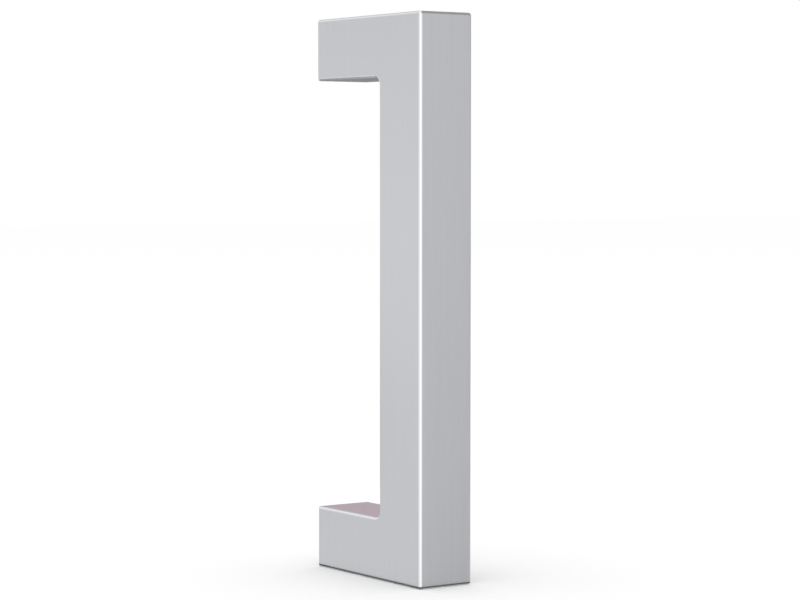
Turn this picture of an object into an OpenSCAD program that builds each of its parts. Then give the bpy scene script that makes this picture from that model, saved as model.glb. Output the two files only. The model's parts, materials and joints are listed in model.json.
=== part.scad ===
// Cabinet handle: a square-cornered C-shaped bar, cast in one piece.
// The grip runs along Z. Two legs reach back along +Y, and their ends rest on the door, in the plane Y = 0.
// The origin is on the door's face, halfway between the two screw holes.

/* [Handle] */
// Distance between the two screw holes
hole_spacing = 96; // [64:32:320]
// Reach from the door to the front of the grip
projection = 35; // [30:0.5:50]
// Width of the bar, seen from the front
bar_width = 12; // [9:0.5:20]
// Thickness of the grip, from front to back
grip_thickness = 13.7; // [8:0.1:18]
// Height of each leg, measured along the handle
leg_height = 12; // [9:0.5:20]

/* [Edges] */
// Radius of the rounded outer edges
edge_radius = 0.6; // [0.2:0.1:1.5]
// Radius of the fillet where each leg meets the grip
inner_radius = 1.5; // [0.5:0.1:4]

/* [Screw holes] */
// Nominal diameter of the screw thread
thread_diameter = 4; // [3:0.5:5]
// Depth of the threaded wall, below the chamfer
thread_depth = 12; // [8:0.5:18]
// Width and depth of the chamfer at the mouth of the hole
mouth_chamfer = 0.4; // [0.2:0.1:0.8]
// Full angle of the cone that the drill leaves at the bottom
drill_angle = 118; // [90:1:140]

/* [Hidden] */
$fn = 64;
handle_length = hole_spacing + leg_height;
gap_length = hole_spacing - leg_height;
gap_depth = projection - grip_thickness;
ends = [-1, 1];
overcut = 1;

// A rectangle from the door's line X = 0 out to X = -reach, with its two far corners rounded.
// It runs past the door's line by the length given.
module far_rounded(reach, height, radius, past = 0) {
    translate([radius - reach, -height / 2])
        square([reach - radius + past, height]);
    if (radius > 0) {
        translate([-reach, radius - height / 2])
            square([reach, height - 2 * radius]);
        for (end = ends)
            translate([radius - reach, end * (height / 2 - radius)])
                circle(radius);
    }
}

// The handle's outline seen from the side, moved into the metal by inset on every side but the door's.
module side_outline(inset) {
    difference() {
        far_rounded(projection - inset, handle_length - 2 * inset, edge_radius - inset);
        far_rounded(gap_depth + inset, gap_length + 2 * inset, inner_radius + inset, overcut);
    }
}

// A flat plate of the side outline, centred across the bar.
module plate(inset, width) {
    rotate([90, 0, 90])
        linear_extrude(width, center = true)
            side_outline(inset);
}

// A round rod from the door's plane out to Y = -reach, at one height.
module reaching_rod(reach, height) {
    translate([0, 0, height])
        rotate([90, 0, 0])
            cylinder(r = edge_radius, h = reach);
}

// A round rod along the handle, centred, at one reach from the door.
module upright_rod(reach, length) {
    translate([0, -reach, 0])
        cylinder(r = edge_radius, h = length, center = true);
}

// The round stock that fills the edges of one side face, along the outline inset by the edge radius.
// Rods follow the straight edges, a ball fills each front corner and a bent rod goes round each fillet.
module edge_rounding() {
    front_reach = projection - edge_radius;
    end_height = handle_length / 2 - edge_radius;
    upright_rod(front_reach, 2 * end_height);
    upright_rod(gap_depth + edge_radius, gap_length - 2 * inner_radius);
    for (flip = [0, 1])
        mirror([0, 0, flip]) {
            reaching_rod(front_reach, end_height);
            reaching_rod(gap_depth - inner_radius, gap_length / 2 + edge_radius);
            translate([0, -front_reach, end_height])
                sphere(edge_radius);
            translate([0, inner_radius - gap_depth, gap_length / 2 - inner_radius])
                rotate([90, 0, 90])
                    rotate_extrude(angle = 90, start = 90)
                        translate([inner_radius + edge_radius, 0])
                            circle(edge_radius);
        }
}

// One blind tapped hole from the door's plane towards -Y, with a chamfered mouth and a drilled point.
module screw_hole() {
    bore = thread_diameter / 2;
    bottom = mouth_chamfer + thread_depth;
    tip = bottom + bore / tan(drill_angle / 2);
    rotate([90, 0, 0])
        rotate_extrude()
            polygon([
                [0, -overcut], [bore + mouth_chamfer + overcut, -overcut], [bore, mouth_chamfer],
                [bore, bottom], [0, tip]
            ]);
}

module handle() {
    color("silver")
        difference() {
            union() {
                plate(0, bar_width - 2 * edge_radius);
                plate(edge_radius, bar_width);
                for (side = ends)
                    translate([side * (bar_width / 2 - edge_radius), 0, 0])
                        edge_rounding();
            }
            for (end = ends)
                translate([0, 0, end * hole_spacing / 2])
                    screw_hole();
        }
}

handle();
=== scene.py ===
"""Dresses a cabinet handle: a satin-plated casting with two tapped legs, standing in a pale studio."""

import json
import math

import bmesh
import bpy
from bpy.props import FloatProperty, FloatVectorProperty, IntProperty, PointerProperty
from mathutils import Matrix, Vector


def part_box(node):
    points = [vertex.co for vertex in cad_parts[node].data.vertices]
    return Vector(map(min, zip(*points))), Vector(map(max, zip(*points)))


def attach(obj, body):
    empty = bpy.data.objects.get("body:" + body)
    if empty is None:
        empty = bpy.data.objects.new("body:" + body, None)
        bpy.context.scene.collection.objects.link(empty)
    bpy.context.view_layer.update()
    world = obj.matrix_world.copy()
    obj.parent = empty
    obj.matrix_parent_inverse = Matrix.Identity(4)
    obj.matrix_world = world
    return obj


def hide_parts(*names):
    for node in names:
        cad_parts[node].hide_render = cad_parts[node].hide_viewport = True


bl_info = {
    "name": "Cabinet Handle",
    "version": (1, 0, 0),
    "blender": (4, 5, 0),
    "location": "View3D > Sidebar > Handle",
    "description": "Builds a satin-plated bar handle with tapped legs, and a studio to show it in",
    "category": "Object",
}

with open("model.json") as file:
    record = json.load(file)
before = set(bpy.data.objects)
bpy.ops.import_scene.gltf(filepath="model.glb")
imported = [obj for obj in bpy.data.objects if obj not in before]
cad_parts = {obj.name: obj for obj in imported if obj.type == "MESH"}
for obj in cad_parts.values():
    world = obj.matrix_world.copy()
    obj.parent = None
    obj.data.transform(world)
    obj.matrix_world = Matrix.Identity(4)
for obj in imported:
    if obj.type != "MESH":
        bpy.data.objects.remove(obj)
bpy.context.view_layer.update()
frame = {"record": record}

MM = 0.001
X, Y, Z = range(3)
PHOTO_WIDTH = 800
SENSOR_WIDTH = 36.0

# Names in the packed part
NODE = "handle"
BODY = "root"

# Names of what a mesh holds for its material
GRAIN_MAP = "grain"
EDGE_SHARE = "edge"
TONE = "tone"

# Nearly all of a noise texture lies between these two values
NOISE_LOW = 0.3
NOISE_HIGH = 0.7

# Sizes that the frame already fixes
low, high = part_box(NODE)
mounts = {mount["name"]: mount for mount in frame["record"]["mounts"]}
hole_wall = mounts["screw_hole_top"]

BAR_WIDTH = high.x - low.x
REACH = -low.y
LENGTH = high.z - low.z
HOLE_SPACING = mounts["screw_holes"]["dims"]["spacing_y_mm"] * MM
LEG_HEIGHT = LENGTH - HOLE_SPACING
BORE_RADIUS = hole_wall["dims"]["r_mm"] * MM
THREAD_DEPTH = hole_wall["dims"]["length_mm"] * MM
MOUTH_CHAMFER = -hole_wall["pos_m"][Y]


class HANDLE_PG_casting(bpy.types.PropertyGroup):
    """Sizes of the casting that the frame doesn't give"""

    grip_thickness: FloatProperty(
        name="Grip thickness", description="From the front of the grip to its rear",
        default=13.7 * MM, unit="LENGTH", precision=5,
    )
    edge_radius: FloatProperty(
        name="Edge radius", description="Rounding of the outer edges",
        default=0.6 * MM, unit="LENGTH", precision=5,
    )
    inner_radius: FloatProperty(
        name="Inner radius", description="Fillet where each leg meets the grip",
        default=1.5 * MM, unit="LENGTH", precision=5,
    )
    end_break: FloatProperty(
        name="End break", description="Fine break on the edges that meet the door",
        default=0.08 * MM, unit="LENGTH", precision=5,
    )
    drill_angle: FloatProperty(
        name="Drill angle", description="Full angle of the cone at the bottom of each hole",
        default=math.radians(118), subtype="ANGLE",
    )
    edge_steps: IntProperty(
        name="Edge steps", description="Facets across a rounded edge", default=8, min=2,
    )
    fillet_steps: IntProperty(
        name="Fillet steps", description="Facets round an inner fillet", default=14, min=2,
    )
    hole_steps: IntProperty(
        name="Hole steps", description="Facets round a screw hole", default=64, min=12,
    )


class HANDLE_PG_thread(bpy.types.PropertyGroup):
    """The screw thread in both legs"""

    pitch: FloatProperty(
        name="Pitch", description="Distance from one turn to the next",
        default=0.7 * MM, unit="LENGTH", precision=5,
    )
    ridge_height: FloatProperty(
        name="Ridge height", description="From the wall of the hole to the crest of the thread",
        default=0.379 * MM, unit="LENGTH", precision=5,
    )
    root_share: FloatProperty(
        name="Root share", description="Width of a ridge at the wall, as a share of the pitch",
        default=0.875, subtype="FACTOR", min=0, max=1,
    )
    crest_share: FloatProperty(
        name="Crest share", description="Width of a ridge at its crest, as a share of the pitch",
        default=0.25, subtype="FACTOR", min=0, max=1,
    )
    turn_steps: IntProperty(
        name="Turn steps", description="Facets round one turn", default=48, min=12,
    )


class HANDLE_PG_finish(bpy.types.PropertyGroup):
    """The satin plating, and the bare zinc where the holes cut through it"""

    colour: FloatVectorProperty(
        name="Plating", description="Colour of the plating on the flat faces",
        default=(0.565, 0.57, 0.59), subtype="COLOR", size=3, min=0, max=1,
    )
    # Painted highlight: the rounded edges take this lighter colour in place of a bright reflection
    edge_highlight_colour: FloatVectorProperty(
        name="Painted edge highlight", description="Colour of the plating on the rounded edges, lightened as a painted highlight",
        default=(0.86, 0.865, 0.88), subtype="COLOR", size=3, min=0, max=1,
    )
    roughness: FloatProperty(
        name="Roughness", description="Blur of reflections on the flat faces",
        default=0.3, subtype="FACTOR", min=0, max=1,
    )
    edge_roughness: FloatProperty(
        name="Edge roughness", description="Blur of reflections on the rounded edges",
        default=0.22, subtype="FACTOR", min=0, max=1,
    )
    line_width: FloatProperty(
        name="Line width", description="Width of one brush line",
        default=0.12 * MM, unit="LENGTH", precision=5,
    )
    line_length: FloatProperty(
        name="Line length", description="Length of one brush line",
        default=6.0 * MM, unit="LENGTH", precision=5,
    )
    streak_width: FloatProperty(
        name="Streak width", description="Width of a faint streak of many brush lines",
        default=0.9 * MM, unit="LENGTH", precision=5,
    )
    streak_length: FloatProperty(
        name="Streak length", description="Length of a faint streak of many brush lines",
        default=40.0 * MM, unit="LENGTH", precision=5,
    )
    streak_share: FloatProperty(
        name="Streak share", description="How far the streaks take the place of single lines",
        default=0.4, subtype="FACTOR", min=0, max=1,
    )
    tint_spread: FloatProperty(
        name="Tint spread", description="How much the brushing lightens and darkens the plating",
        default=0.03, subtype="FACTOR", min=0, max=1,
    )
    roughness_spread: FloatProperty(
        name="Roughness spread", description="How much the brushing raises and lowers the roughness",
        default=0.05, subtype="FACTOR", min=0, max=1,
    )
    scratch_depth: FloatProperty(
        name="Scratch depth", description="Depth of the brush lines",
        default=0.003 * MM, unit="LENGTH", precision=6,
    )
    scratch_strength: FloatProperty(
        name="Scratch strength", description="How much the brush lines tilt a reflection",
        default=0.3, subtype="FACTOR", min=0, max=1,
    )
    cloud_size: FloatProperty(
        name="Cloud size", description="Width of one soft cloud in the plating",
        default=16.7 * MM, unit="LENGTH", precision=5,
    )
    cloud_roughness: FloatProperty(
        name="Cloud roughness", description="The most that a cloud adds to the roughness",
        default=0.04, subtype="FACTOR", min=0, max=1,
    )
    bare_colour: FloatVectorProperty(
        name="Bare zinc", description="Colour of the cut metal in the screw holes",
        default=(0.41, 0.41, 0.42), subtype="COLOR", size=3, min=0, max=1,
    )
    bare_tint_spread: FloatProperty(
        name="Bare tint spread", description="How much the tool marks lighten and darken the bare zinc",
        default=0.08, subtype="FACTOR", min=0, max=1,
    )
    bare_roughness: FloatProperty(
        name="Bare roughness", description="Blur of reflections on the bare zinc",
        default=0.45, subtype="FACTOR", min=0, max=1,
    )
    bare_roughness_spread: FloatProperty(
        name="Bare roughness spread", description="How much the tool marks raise and lower that roughness",
        default=0.1, subtype="FACTOR", min=0, max=1,
    )
    mark_width: FloatProperty(
        name="Mark width", description="Width of one tool mark, along the hole",
        default=0.111 * MM, unit="LENGTH", precision=6,
    )
    mark_length: FloatProperty(
        name="Mark length", description="Length of one tool mark, across the hole",
        default=1.25 * MM, unit="LENGTH", precision=5,
    )


class HANDLE_PG_studio(bpy.types.PropertyGroup):
    """The floor, light, cards and camera that show the handle"""

    floor_colour: FloatVectorProperty(
        name="Floor", description="Colour of the floor",
        default=(0.99, 0.99, 0.99), subtype="COLOR", size=3, min=0, max=1,
    )
    world_tone: FloatProperty(
        name="World", description="Brightness of the white surroundings", default=1.0,
    )
    overhead_tone: FloatProperty(
        name="Overhead", description="Brightness that the overhead softbox adds", default=0.3,
    )
    # The tones of a sweep go outwards: near the handle, at the fold, and at the top of the fold
    key_tones: FloatVectorProperty(
        name="Key sweep", description="Tones in front of the handle, which its near edge shows",
        default=(1.2, 1.3, 1.3), size=3,
    )
    front_tones: FloatVectorProperty(
        name="Front sweep", description="Tones that the front of the grip shows",
        default=(0.72, 0.805, 0.87), size=3,
    )
    right_tones: FloatVectorProperty(
        name="Right sweep", description="Tones to the right, which shade the far edge of the front",
        default=(0.68, 0.55, 0.55), size=3,
    )
    side_tones: FloatVectorProperty(
        name="Side sweep", description="Tones to the left, which the broad side of the handle shows",
        default=(0.93, 1.135, 0.81), size=3,
    )
    back_tones: FloatVectorProperty(
        name="Back sweep", description="Tones behind the handle, which the inner faces of its legs show",
        default=(0.23, 0.23, 0.94), size=3,
    )
    back_tint: FloatVectorProperty(
        name="Back tint", description="Dusky tint at the top of the back sweep",
        default=(1.0, 0.655, 0.78), subtype="COLOR", size=3, min=0, max=1,
    )
    rear_floor_tones: FloatVectorProperty(
        name="Rear floor", description="Tones on the floor behind, which the rounded edges under a leg show",
        default=(0.3, 0.6), size=2,
    )
    right_flag_tone: FloatProperty(
        name="Right flag", description="Tone of the flag that darkens the top front edge", default=0.34,
    )
    rear_flag_tone: FloatProperty(
        name="Rear flag", description="Tone of the flag that greys the upper edges of both legs",
        default=0.6,
    )
    # Painted shade: the mat is a dark sheet that only reflections see, darkening the lowest edges where the
    # handle meets the floor
    contact_shade_tone: FloatProperty(
        name="Contact shade mat", description="Tone of the mat that darkens the lowest edges", default=0.12,
    )
    contact_shade_margin: FloatProperty(
        name="Contact shade margin", description="How far the mat reaches past the handle",
        default=0.8 * MM, unit="LENGTH", precision=5,
    )
    focal_pixels: FloatProperty(
        name="Focal length", description="Focal length of the camera in pixels of the photograph",
        default=2509.8, subtype="PIXEL",
    )
    camera_azimuth: FloatProperty(
        name="Camera azimuth", description="Turn of the camera's view from the front of the grip",
        default=math.radians(34.433), subtype="ANGLE",
    )
    camera_pitch: FloatProperty(
        name="Camera pitch", description="How far the camera looks down",
        default=math.radians(2.861), subtype="ANGLE",
    )
    camera_place: FloatVectorProperty(
        name="Camera place", description="Where the camera stands",
        default=(-272.64 * MM, -417.41 * MM, 23.65 * MM), subtype="TRANSLATION", size=3,
    )


def link(data, name):
    """An object for a mesh, lamp or camera, in the scene."""
    made = bpy.data.objects.new(name, data)
    bpy.context.scene.collection.objects.link(made)
    return made


def settle(made):
    """Turns an object's evaluated shape into its plain mesh, without modifiers."""
    bpy.context.view_layer.update()
    graph = bpy.context.evaluated_depsgraph_get()
    settled = bpy.data.meshes.new_from_object(made.evaluated_get(graph), depsgraph=graph)
    made.modifiers.clear()
    made.data = settled
    settled.name = made.name


def to_mesh(build, name):
    """A mesh of what was built, with its faces turned outwards."""
    bmesh.ops.recalc_face_normals(build, faces=build.faces)
    mesh = bpy.data.meshes.new(name)
    build.to_mesh(mesh)
    build.free()
    return mesh


def fill(tree, socket, value):
    """Links another node's socket to this one, or sets this one to a plain value."""
    if isinstance(value, bpy.types.NodeSocket):
        tree.links.new(value, socket)
    else:
        socket.default_value = value


def add_node(tree, kind, **values):
    """A node of that kind. A name that is an input fills that input, and any other sets a property."""
    made = tree.nodes.new(kind)
    for name, value in values.items():
        label = name.replace("_", " ").title()
        if label in made.inputs:
            fill(tree, made.inputs[label], value)
        else:
            setattr(made, name, value)
    return made


def reckon(tree, operation, *values, kind="ShaderNodeMath"):
    """The result of a math node, whose inputs are filled in order."""
    made = add_node(tree, kind, operation=operation)
    for socket, value in zip(made.inputs, values):
        fill(tree, socket, value)
    return made.outputs[0]


def side_outline(casting):
    """Corners of the handle seen from the side, as (y, z), with the inner fillets as arcs."""
    top = LENGTH / 2
    gap = top - LEG_HEIGHT
    rear = casting.grip_thickness - REACH
    radius = casting.inner_radius
    upper = []
    for step in range(casting.fillet_steps + 1):
        turn = math.pi / 2 * (1 + step / casting.fillet_steps)
        upper.append((rear + radius + radius * math.cos(turn), gap - radius + radius * math.sin(turn)))
    lower = [(y, -z) for y, z in reversed(upper)]
    outside = [(0, -gap), (0, -top), (-REACH, -top), (-REACH, top), (0, top), (0, gap)]
    return outside + upper + lower


def edge_weight(edge, casting):
    """How much of the edge radius an edge of the sharp casting takes."""
    near = 1e-7
    ends = [vert.co for vert in edge.verts]
    if all(abs(end.y) < near for end in ends):
        return casting.end_break / casting.edge_radius
    along_side = abs(ends[0].x - ends[1].x) < near
    on_front = all(end.y < -REACH + near for end in ends)
    return 1.0 if along_side or on_front else 0.0


def sharp_casting(casting):
    """The C-shaped casting before its edges are rounded, with a bevel weight on each edge to round."""
    build = bmesh.new()
    side = build.faces.new([build.verts.new((-BAR_WIDTH / 2, y, z)) for y, z in side_outline(casting)])
    grown = bmesh.ops.extrude_face_region(build, geom=[side])["geom"]
    far = [item for item in grown if isinstance(item, bmesh.types.BMVert)]
    bmesh.ops.translate(build, verts=far, vec=(BAR_WIDTH, 0, 0))
    weights = build.edges.layers.float.new("bevel_weight_edge")
    for edge in build.edges:
        edge[weights] = edge_weight(edge, casting)
    return to_mesh(build, "handle_casting")


def round_edges(made, casting):
    """Rounds each edge by its weight."""
    rounding = made.modifiers.new("rounding", "BEVEL")
    rounding.limit_method = "WEIGHT"
    rounding.offset_type = "OFFSET"
    rounding.width = casting.edge_radius
    rounding.segments = casting.edge_steps
    rounding.use_clamp_overlap = False
    settle(made)


def ring(build, radius, depth, height, steps):
    """Points in a circle round the axis of the hole at that height, at one depth into the leg."""
    turns = [math.tau * step / steps for step in range(steps)]
    return [
        build.verts.new((radius * math.cos(turn), -depth, height + radius * math.sin(turn)))
        for turn in turns
    ]


def drill(casting):
    """The solid that the drill and countersink take out of both legs."""
    overcut = 1 * MM
    bottom = MOUTH_CHAMFER + THREAD_DEPTH
    tip = bottom + BORE_RADIUS / math.tan(casting.drill_angle / 2)
    sections = [
        (BORE_RADIUS + MOUTH_CHAMFER + overcut, -overcut),
        (BORE_RADIUS, MOUTH_CHAMFER),
        (BORE_RADIUS, bottom),
    ]
    build = bmesh.new()
    steps = casting.hole_steps
    for height in (-HOLE_SPACING / 2, HOLE_SPACING / 2):
        loops = [ring(build, radius, depth, height, steps) for radius, depth in sections]
        point = build.verts.new((0, -tip, height))
        build.faces.new(loops[0])
        for step in range(steps):
            after = (step + 1) % steps
            for outer, inner in zip(loops, loops[1:]):
                build.faces.new((outer[step], outer[after], inner[after], inner[step]))
            build.faces.new((loops[-1][step], loops[-1][after], point))
    return to_mesh(build, "drill")


def bore_legs(made, casting, metal):
    """Cuts both screw holes, whose walls show bare metal."""
    cutter = link(drill(casting), "drill")
    cutter.data.materials.append(metal)
    boring = made.modifiers.new("boring", "BOOLEAN")
    boring.operation = "DIFFERENCE"
    boring.solver = "EXACT"
    boring.object = cutter
    boring.material_mode = "TRANSFER"
    settle(made)
    bpy.data.objects.remove(cutter)


def even_shading(made):
    """Keeps the flat faces flat and the rounded edges smooth."""
    sharp_angle = math.radians(30)
    made.data.shade_smooth()
    made.data.set_sharp_from_angle(angle=sharp_angle)
    even = made.modifiers.new("even", "WEIGHTED_NORMAL")
    even.keep_sharp = True
    settle(made)


def lay_grain(mesh):
    """A UV map in metres whose U follows the brushing: along the handle, and outwards on its ends."""
    grain = mesh.uv_layers.new(name=GRAIN_MAP)
    for face in mesh.polygons:
        across = max((X, Y, Z), key=lambda axis: abs(face.normal[axis]))
        along = Y if across == Z else Z
        (beside,) = {X, Y, Z} - {across, along}
        for loop in face.loop_indices:
            place = mesh.vertices[mesh.loops[loop].vertex_index].co
            grain.data[loop].uv = (place[along], place[beside])


def edge_share(normal, height):
    """How near a point is to the crest of a rounded outer edge, from 0 on a flat face to 1."""
    along_side = min(abs(normal.x), math.hypot(normal.y, normal.z))
    faces_out = normal.z * height > 0
    along_end = min(abs(normal.y), abs(normal.z)) if faces_out else 0
    return min(1, math.sqrt(2) * max(along_side, along_end))


def mark_edges(mesh):
    """A point attribute that rises to 1 on the crest of each rounded edge, and is 0 on every flat face; it
    lays a painted highlight and a lower roughness on those edges.
    """
    flat = 0.9999
    edge = mesh.attributes.new(EDGE_SHARE, "FLOAT", "POINT")
    for point, vertex in zip(edge.data, mesh.vertices):
        point.value = edge_share(vertex.normal, vertex.co.z)
    for face in mesh.polygons:
        if max(abs(part) for part in face.normal) > flat:
            for index in face.vertices:
                edge.data[index].value = 0


def new_material(name):
    """A material with an empty node tree."""
    material = bpy.data.materials.new(name)
    material.use_nodes = True
    material.node_tree.nodes.clear()
    return material


def stretched_noise(tree, place, scale, detail):
    """Noise from 0 to 1, with its own scale along each axis of the place."""
    stretch = add_node(tree, "ShaderNodeMapping", vector=place, scale=scale)
    noise = add_node(tree, "ShaderNodeTexNoise", vector=stretch.outputs["Vector"], scale=1.0, detail=detail)
    return noise.outputs["Fac"]


def brush_noise(tree, length, width, detail):
    """Noise in lines of that length and width along the brushing."""
    grain = add_node(tree, "ShaderNodeUVMap", uv_map=GRAIN_MAP).outputs["UV"]
    return stretched_noise(tree, grain, (1 / length, 1 / width, 1), detail)


def shades(tree, noise, colour, spread):
    """The colour, a little darker where the noise is low and a little lighter where it is high."""
    ramp = add_node(tree, "ShaderNodeValToRGB", fac=noise)
    dark, light = ramp.color_ramp.elements
    dark.position = NOISE_LOW
    dark.color = (*((1 - spread) * Vector(colour)), 1)
    light.position = NOISE_HIGH
    light.color = (*((1 + spread) * Vector(colour)), 1)
    return ramp.outputs["Color"]


def mix_colours(tree, share, first, second):
    """The first colour where the share is 0, and the second where it is 1."""
    mixed = add_node(tree, "ShaderNodeMix", data_type="RGBA", factor=share)
    colours = [socket for socket in mixed.inputs if socket.type == "RGBA"]
    fill(tree, colours[0], first)
    fill(tree, colours[1], second)
    return next(socket for socket in mixed.outputs if socket.type == "RGBA")


def satin_plating(finish):
    """Satin chrome: brush lines and faint streaks, soft clouds, and a painted highlight on the rounded
    edges, whose roughness is also lower.
    """
    material = new_material("satin_plating")
    tree = material.node_tree
    lines = brush_noise(tree, finish.line_length, finish.line_width, detail=4.0)
    streaks = brush_noise(tree, finish.streak_length, finish.streak_width, detail=2.0)
    brushing = add_node(
        tree, "ShaderNodeMix", factor=finish.streak_share, a=lines, b=streaks,
    ).outputs["Result"]
    place = add_node(tree, "ShaderNodeTexCoord").outputs["Object"]
    cloud = add_node(
        tree, "ShaderNodeTexNoise", vector=place, scale=1 / finish.cloud_size, detail=2.0,
    ).outputs["Fac"]
    edge = add_node(tree, "ShaderNodeAttribute", attribute_name=EDGE_SHARE).outputs["Fac"]

    tint = shades(tree, brushing, finish.colour, finish.tint_spread)
    # Painted highlight: the rounded edges take a lighter colour than the flat faces
    colour = mix_colours(tree, edge, tint, (*finish.edge_highlight_colour, 1))
    brushed = add_node(
        tree, "ShaderNodeMapRange", value=brushing, from_min=NOISE_LOW, from_max=NOISE_HIGH,
        to_min=finish.roughness - finish.roughness_spread,
        to_max=finish.roughness + finish.roughness_spread,
    ).outputs["Result"]
    clouded = reckon(tree, "MULTIPLY_ADD", cloud, finish.cloud_roughness, brushed)
    blur = add_node(tree, "ShaderNodeMix", factor=edge, a=clouded, b=finish.edge_roughness)
    scratches = add_node(
        tree, "ShaderNodeBump", strength=finish.scratch_strength, distance=finish.scratch_depth,
        height=lines,
    )
    metal = add_node(
        tree, "ShaderNodeBsdfPrincipled", metallic=1.0, base_color=colour,
        roughness=blur.outputs["Result"], normal=scratches.outputs["Normal"],
    )
    add_node(tree, "ShaderNodeOutputMaterial", surface=metal.outputs["BSDF"])
    return material


def cut_zinc(finish):
    """Bare zinc where the drill and tap cut through the plating: dull grey, ringed by the tool."""
    name = "cut_zinc"
    if name in bpy.data.materials:
        return bpy.data.materials[name]
    material = new_material(name)
    tree = material.node_tree
    place = add_node(tree, "ShaderNodeTexCoord").outputs["Object"]
    scale = (1 / finish.mark_length, 1 / finish.mark_width, 1 / finish.mark_length)
    marks = stretched_noise(tree, place, scale, detail=3.0)
    blur = add_node(
        tree, "ShaderNodeMapRange", value=marks,
        to_min=finish.bare_roughness - finish.bare_roughness_spread,
        to_max=finish.bare_roughness + finish.bare_roughness_spread,
    )
    metal = add_node(
        tree, "ShaderNodeBsdfPrincipled", metallic=1.0,
        base_color=shades(tree, marks, finish.bare_colour, finish.bare_tint_spread),
        roughness=blur.outputs["Result"],
    )
    add_node(tree, "ShaderNodeOutputMaterial", surface=metal.outputs["BSDF"])
    return material


def thread_inputs(tree):
    """The thread's sizes and its metal, as named inputs of the tree."""
    tree.interface.new_socket("Turns", in_out="INPUT", socket_type="NodeSocketFloat")
    tree.interface.new_socket("Turn Steps", in_out="INPUT", socket_type="NodeSocketInt")
    lengths = ("Depth", "Mouth", "Bore Radius", "Ridge Height", "Root Width", "Crest Width", "Hole Spacing")
    for name in lengths:
        length = tree.interface.new_socket(name, in_out="INPUT", socket_type="NodeSocketFloat")
        length.subtype = "DISTANCE"
    tree.interface.new_socket("Metal", in_out="INPUT", socket_type="NodeSocketMaterial")
    tree.interface.new_socket("Threads", in_out="OUTPUT", socket_type="NodeSocketGeometry")
    return tree.nodes.new("NodeGroupInput").outputs


def thread_path(tree, sizes):
    """A right-handed spiral down the hole, bedded a little in its wall.

    The first turn rises out of the wall, and the last sinks back into it.
    """
    bedded_share = 0.02
    half_height = reckon(tree, "MULTIPLY", sizes["Ridge Height"], 0.5)
    radius = reckon(tree, "SUBTRACT", sizes["Bore Radius"], half_height)
    spiral = add_node(
        tree, "GeometryNodeCurveSpiral", resolution=sizes["Turn Steps"], rotations=sizes["Turns"],
        start_radius=radius, end_radius=radius, height=sizes["Depth"], reverse=True,
    )
    along = add_node(tree, "GeometryNodeSplineParameter").outputs["Factor"]
    from_middle = reckon(tree, "ABSOLUTE", reckon(tree, "SUBTRACT", along, 0.5))
    turns_from_end = reckon(tree, "MULTIPLY", reckon(tree, "SUBTRACT", 0.5, from_middle), sizes["Turns"])
    share = reckon(tree, "SUBTRACT", 1 + bedded_share, reckon(tree, "MINIMUM", turns_from_end, 1.0))
    depth = reckon(tree, "MULTIPLY", share, sizes["Ridge Height"])
    place = add_node(tree, "GeometryNodeInputPosition").outputs["Position"]
    level = reckon(tree, "MULTIPLY", place, (1, 1, 0), kind="ShaderNodeVectorMath")
    outward = reckon(tree, "NORMALIZE", level, kind="ShaderNodeVectorMath")
    shift = add_node(tree, "ShaderNodeVectorMath", operation="SCALE", vector=outward, scale=depth)
    sunk = add_node(
        tree, "GeometryNodeSetPosition", geometry=spiral.outputs["Curve"], offset=shift.outputs["Vector"],
    )
    upright = add_node(tree, "GeometryNodeSetCurveNormal", mode="Z_UP", curve=sunk.outputs["Geometry"])
    return upright.outputs["Curve"]


def ridge_outline(tree, sizes):
    """The ridge cut across: wide at the wall of the hole, and narrow at its crest."""
    ridge = add_node(
        tree, "GeometryNodeCurvePrimitiveQuadrilateral", mode="TRAPEZOID", bottom_width=sizes["Root Width"],
        top_width=sizes["Crest Width"], height=sizes["Ridge Height"], offset=0.0,
    )
    turned = add_node(
        tree, "GeometryNodeTransform", geometry=ridge.outputs["Curve"], rotation=(0, 0, math.radians(90)),
    )
    return turned.outputs["Geometry"]


def hole_points(tree, sizes):
    """One point in each hole, where its thread starts."""
    start = add_node(
        tree, "ShaderNodeCombineXYZ", y=reckon(tree, "MULTIPLY", sizes["Mouth"], -1.0),
        z=reckon(tree, "MULTIPLY", sizes["Hole Spacing"], -0.5),
    )
    step = add_node(tree, "ShaderNodeCombineXYZ", z=sizes["Hole Spacing"])
    points = add_node(
        tree, "GeometryNodeMeshLine", count=2, start_location=start.outputs["Vector"],
        offset=step.outputs["Vector"],
    )
    return points.outputs["Mesh"]


def thread_tree():
    """Winds a ridge down a spiral, and sets one such thread in each hole."""
    tree = bpy.data.node_groups.new("screw_thread", "GeometryNodeTree")
    sizes = thread_inputs(tree)
    wound = add_node(
        tree, "GeometryNodeCurveToMesh", curve=thread_path(tree, sizes),
        profile_curve=ridge_outline(tree, sizes), fill_caps=True,
    )
    laid = add_node(
        tree, "GeometryNodeTransform", geometry=wound.outputs["Mesh"], rotation=(math.radians(90), 0, 0),
    )
    placed = add_node(
        tree, "GeometryNodeInstanceOnPoints", points=hole_points(tree, sizes),
        instance=laid.outputs["Geometry"],
    )
    real = add_node(tree, "GeometryNodeRealizeInstances", geometry=placed.outputs["Instances"])
    painted = add_node(
        tree, "GeometryNodeSetMaterial", geometry=real.outputs["Geometry"], material=sizes["Metal"],
    )
    add_node(tree, "NodeGroupOutput", threads=painted.outputs["Geometry"])
    return tree


def direction(azimuth, elevation):
    """The way from the handle at those angles in degrees. Azimuth 0 is its front, and 90 is its +X side."""
    turn = math.radians(azimuth)
    tilt = math.radians(elevation)
    return Vector((math.sin(turn) * math.cos(tilt), -math.cos(turn) * math.cos(tilt), math.sin(tilt)))


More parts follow.
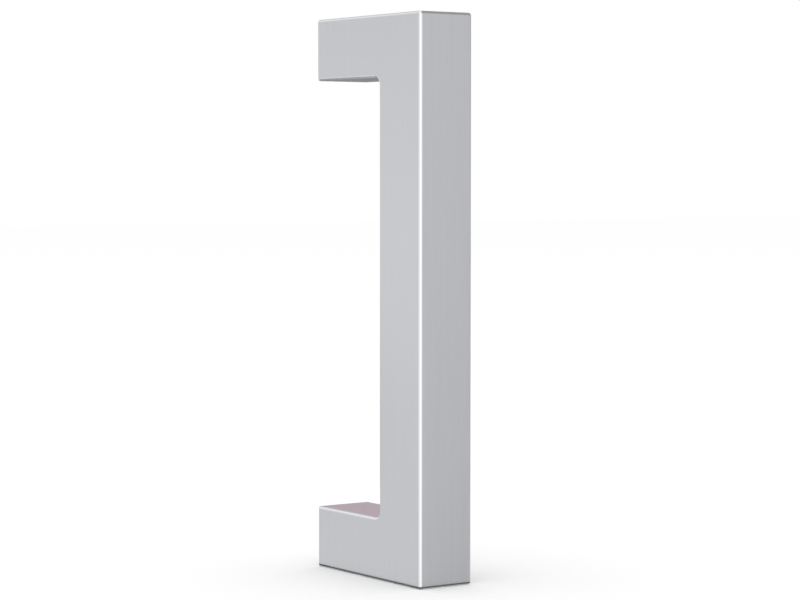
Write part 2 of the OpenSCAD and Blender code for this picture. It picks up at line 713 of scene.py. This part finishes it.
def facing(azimuth, elevation, distance):
    """The placing of a lamp or card that faces the handle from there."""
    way = direction(azimuth, elevation)
    centre = Vector((0, -REACH / 2, 0))
    turned = way.to_track_quat("Z", "Y").to_matrix().to_4x4()
    return Matrix.Translation(centre + distance * way) @ turned


def softbox(name, placing, size, tone):
    """A square lamp that adds that brightness where its face is seen."""
    lamp = bpy.data.lights.new(name, "AREA")
    lamp.size = size
    lamp.energy = tone * math.pi * size * size
    made = link(lamp, name)
    made.matrix_world = placing
    made.visible_camera = False


def card_paint():
    """The paint of every card, which takes its tone from the card's points."""
    name = "card_paint"
    if name in bpy.data.materials:
        return bpy.data.materials[name]
    paint = new_material(name)
    paint.cycles.emission_sampling = "NONE"
    tree = paint.node_tree
    tone = add_node(tree, "ShaderNodeAttribute", attribute_name=TONE)
    glow = add_node(tree, "ShaderNodeEmission", color=tone.outputs["Color"], strength=1.0)
    add_node(tree, "ShaderNodeOutputMaterial", surface=glow.outputs["Emission"])
    return paint


def card(name, rows, tones):
    """A card that shows only in reflections, with one tone along each row of its points."""
    count = len(rows[0])
    starts = [row * count + step for row in range(len(rows) - 1) for step in range(count - 1)]
    faces = [(first, first + 1, first + count + 1, first + count) for first in starts]
    mesh = bpy.data.meshes.new(name)
    mesh.from_pydata([point for row in rows for point in row], [], faces)
    shade = mesh.color_attributes.new(TONE, "FLOAT_COLOR", "POINT")
    for index, value in enumerate(shade.data):
        value.color = (*tones[index // count], 1)
    mesh.materials.append(card_paint())
    made = link(mesh, name)
    made.visible_camera = False
    made.visible_diffuse = False
    made.visible_shadow = False
    made.visible_transmission = False


def greys(*tones):
    """Each tone as a neutral colour."""
    return [(tone, tone, tone) for tone in tones]


def panel(name, placing, width, height, tone):
    """A flat card of one tone."""
    rows = [
        [placing @ Vector((side * width / 2, level * height / 2, 0)) for side in (-1, 1)]
        for level in (-1, 1)
    ]
    card(name, rows, greys(tone, tone))


def sweep(name, start, stop, tones, near=1 * MM, lift=0.1 * MM):
    """A paper sweep from one azimuth to another round the handle's near edge.

    It lies on the floor from near the handle, and with a third tone it folds up at the far end.
    """
    steps = 12
    far = 0.9
    rise = Vector((0, 0, 0.3))
    corner = Vector((low.x, low.y, low.z + lift))
    ways = [direction(start + (stop - start) * step / steps, 0) for step in range(steps + 1)]
    inside = [corner + near * way for way in ways]
    fold = [corner + far * way for way in ways]
    top = [point + rise for point in fold]
    card(name, [inside, fold, top][:len(tones)], tones)


class HANDLE_OT_casting(bpy.types.Operator):
    """Builds the C-shaped casting with rounded edges and two drilled holes, in place of the plain solid"""

    bl_idname = "handle.casting"
    bl_label = "Casting"

    def execute(self, context):
        casting = context.scene.handle_casting
        finish = context.scene.handle_finish
        made = link(sharp_casting(casting), "handle_casting")
        made.data.materials.append(satin_plating(finish))
        round_edges(made, casting)
        bore_legs(made, casting, cut_zinc(finish))
        even_shading(made)
        lay_grain(made.data)
        mark_edges(made.data)
        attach(made, BODY)
        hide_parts(NODE)
        return {"FINISHED"}


class HANDLE_OT_threads(bpy.types.Operator):
    """Winds a screw thread into both holes"""

    bl_idname = "handle.threads"
    bl_label = "Screw threads"

    def execute(self, context):
        thread = context.scene.handle_thread
        metal = cut_zinc(context.scene.handle_finish)
        root_width = thread.root_share * thread.pitch
        depth = THREAD_DEPTH - root_width
        values = {
            "Turns": depth / thread.pitch,
            "Turn Steps": thread.turn_steps,
            "Depth": depth,
            "Mouth": MOUTH_CHAMFER + root_width / 2,
            "Bore Radius": BORE_RADIUS,
            "Ridge Height": thread.ridge_height,
            "Root Width": root_width,
            "Crest Width": thread.crest_share * thread.pitch,
            "Hole Spacing": HOLE_SPACING,
            "Metal": metal,
        }
        made = link(bpy.data.meshes.new("screw_threads"), "screw_threads")
        winding = made.modifiers.new("winding", "NODES")
        winding.node_group = thread_tree()
        for item in winding.node_group.interface.items_tree:
            if item.name in values:
                winding[item.identifier] = values[item.name]
        settle(made)
        made.data.materials.clear()
        made.data.materials.append(metal)
        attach(made, BODY)
        return {"FINISHED"}


class HANDLE_OT_studio(bpy.types.Operator):
    """Builds the floor, the light, the cards that the plating reflects, and the camera"""

    bl_idname = "handle.studio"
    bl_label = "Studio"

    def execute(self, context):
        scene = context.scene
        studio = scene.handle_studio
        self.floor(studio)
        self.light(scene, studio)
        self.sweeps(studio)
        self.flags(studio)
        self.mat(studio)
        self.camera(scene, studio)
        scene.view_settings.view_transform = "Standard"
        return {"FINISHED"}

    def floor(self, studio):
        """A wide pale floor that the handle stands on."""
        half = 3.0
        corners = [(x, y, low.z) for x, y in ((-half, -half), (half, -half), (half, half), (-half, half))]
        mesh = bpy.data.meshes.new("floor")
        mesh.from_pydata(corners, [], [(0, 1, 2, 3)])
        paint = new_material("floor_paint")
        matt = add_node(paint.node_tree, "ShaderNodeBsdfDiffuse", color=(*studio.floor_colour, 1))
        add_node(paint.node_tree, "ShaderNodeOutputMaterial", surface=matt.outputs["BSDF"])
        mesh.materials.append(paint)
        link(mesh, "floor")

    def light(self, scene, studio):
        """White surroundings and one softbox overhead."""
        world = bpy.data.worlds.new("studio")
        world.use_nodes = True
        background = world.node_tree.nodes["Background"]
        background.inputs["Color"].default_value = (1, 1, 1, 1)
        background.inputs["Strength"].default_value = studio.world_tone
        scene.world = world
        above = facing(azimuth=0, elevation=90, distance=1.2)
        softbox("overhead_softbox", above, size=1.0, tone=studio.overhead_tone)

    def sweeps(self, studio):
        """Paper sweeps round the handle, each the tone that one of its faces or edges shows."""
        sweep("key_sweep", start=-60, stop=25, tones=greys(*studio.key_tones))
        sweep("front_sweep", start=25, stop=52, tones=greys(*studio.front_tones))
        sweep("right_sweep", start=52, stop=115, tones=greys(*studio.right_tones))
        sweep("side_sweep", start=180, stop=270, tones=greys(*studio.side_tones))
        *floor_tones, top_tone = greys(*studio.back_tones)
        back_tones = [*floor_tones, tuple(Vector(top_tone) * Vector(studio.back_tint))]
        behind = {"near": 150 * MM, "lift": 0.2 * MM}
        sweep("back_sweep", start=128, stop=166, tones=back_tones, **behind)
        sweep("rear_floor", start=166, stop=204, tones=greys(*studio.rear_floor_tones), **behind)

    def flags(self, studio):
        """Two grey flags: a large one high to the right, and a small one behind."""
        right = facing(azimuth=80, elevation=45, distance=0.9)
        panel("right_flag", right, width=1.6, height=1.1, tone=studio.right_flag_tone)
        rear = facing(azimuth=163, elevation=32, distance=0.9)
        panel("rear_flag", rear, width=0.5, height=0.4, tone=studio.rear_flag_tone)

    def mat(self, studio):
        """Painted shade: a dark sheet under the handle that only reflections see, which darkens its lowest
        edges where it meets the floor.
        """
        lift = 0.2 * MM
        past = 2 * studio.contact_shade_margin
        placing = Matrix.Translation(Vector((0, -REACH / 2, low.z + lift)))
        panel("mat", placing, width=BAR_WIDTH + past, height=REACH + past, tone=studio.contact_shade_tone)

    def camera(self, scene, studio):
        """A camera at the photograph's angle, with no shift and no depth of field."""
        lens = bpy.data.cameras.new("camera")
        lens.sensor_width = SENSOR_WIDTH
        lens.lens = studio.focal_pixels * SENSOR_WIDTH / PHOTO_WIDTH
        lens.clip_start = 0.01
        lens.clip_end = 20
        made = link(lens, "camera")
        made.location = studio.camera_place
        made.rotation_euler = (math.pi / 2 - studio.camera_pitch, 0, -studio.camera_azimuth)
        scene.camera = made


class HANDLE_PT_sidebar(bpy.types.Panel):
    """Lists the settings, and the steps that build the handle"""

    bl_idname = "HANDLE_PT_sidebar"
    bl_label = "Cabinet Handle"
    bl_space_type = "VIEW_3D"
    bl_region_type = "UI"
    bl_category = "Handle"

    def draw(self, context):
        for name, kind in SETTINGS.items():
            box = self.layout.box()
            box.label(text=kind.__doc__)
            for setting in kind.__annotations__:
                box.prop(getattr(context.scene, name), setting)
        for step in STEPS:
            self.layout.operator(step.bl_idname)


SETTINGS = {
    "handle_casting": HANDLE_PG_casting,
    "handle_thread": HANDLE_PG_thread,
    "handle_finish": HANDLE_PG_finish,
    "handle_studio": HANDLE_PG_studio,
}
STEPS = (HANDLE_OT_casting, HANDLE_OT_threads, HANDLE_OT_studio)
CLASSES = (*SETTINGS.values(), *STEPS, HANDLE_PT_sidebar)


def register():
    """Adds the settings, the steps and the panel."""
    for kind in CLASSES:
        bpy.utils.register_class(kind)
    for name, kind in SETTINGS.items():
        setattr(bpy.types.Scene, name, PointerProperty(type=kind))


def unregister():
    """Takes them away again."""
    for name in SETTINGS:
        delattr(bpy.types.Scene, name)
    for kind in reversed(CLASSES):
        bpy.utils.unregister_class(kind)


def main():
    """Builds the handle and its studio."""
    register()
    bpy.ops.handle.casting()
    bpy.ops.handle.threads()
    bpy.ops.handle.studio()


if __name__ == "__main__":
    main()
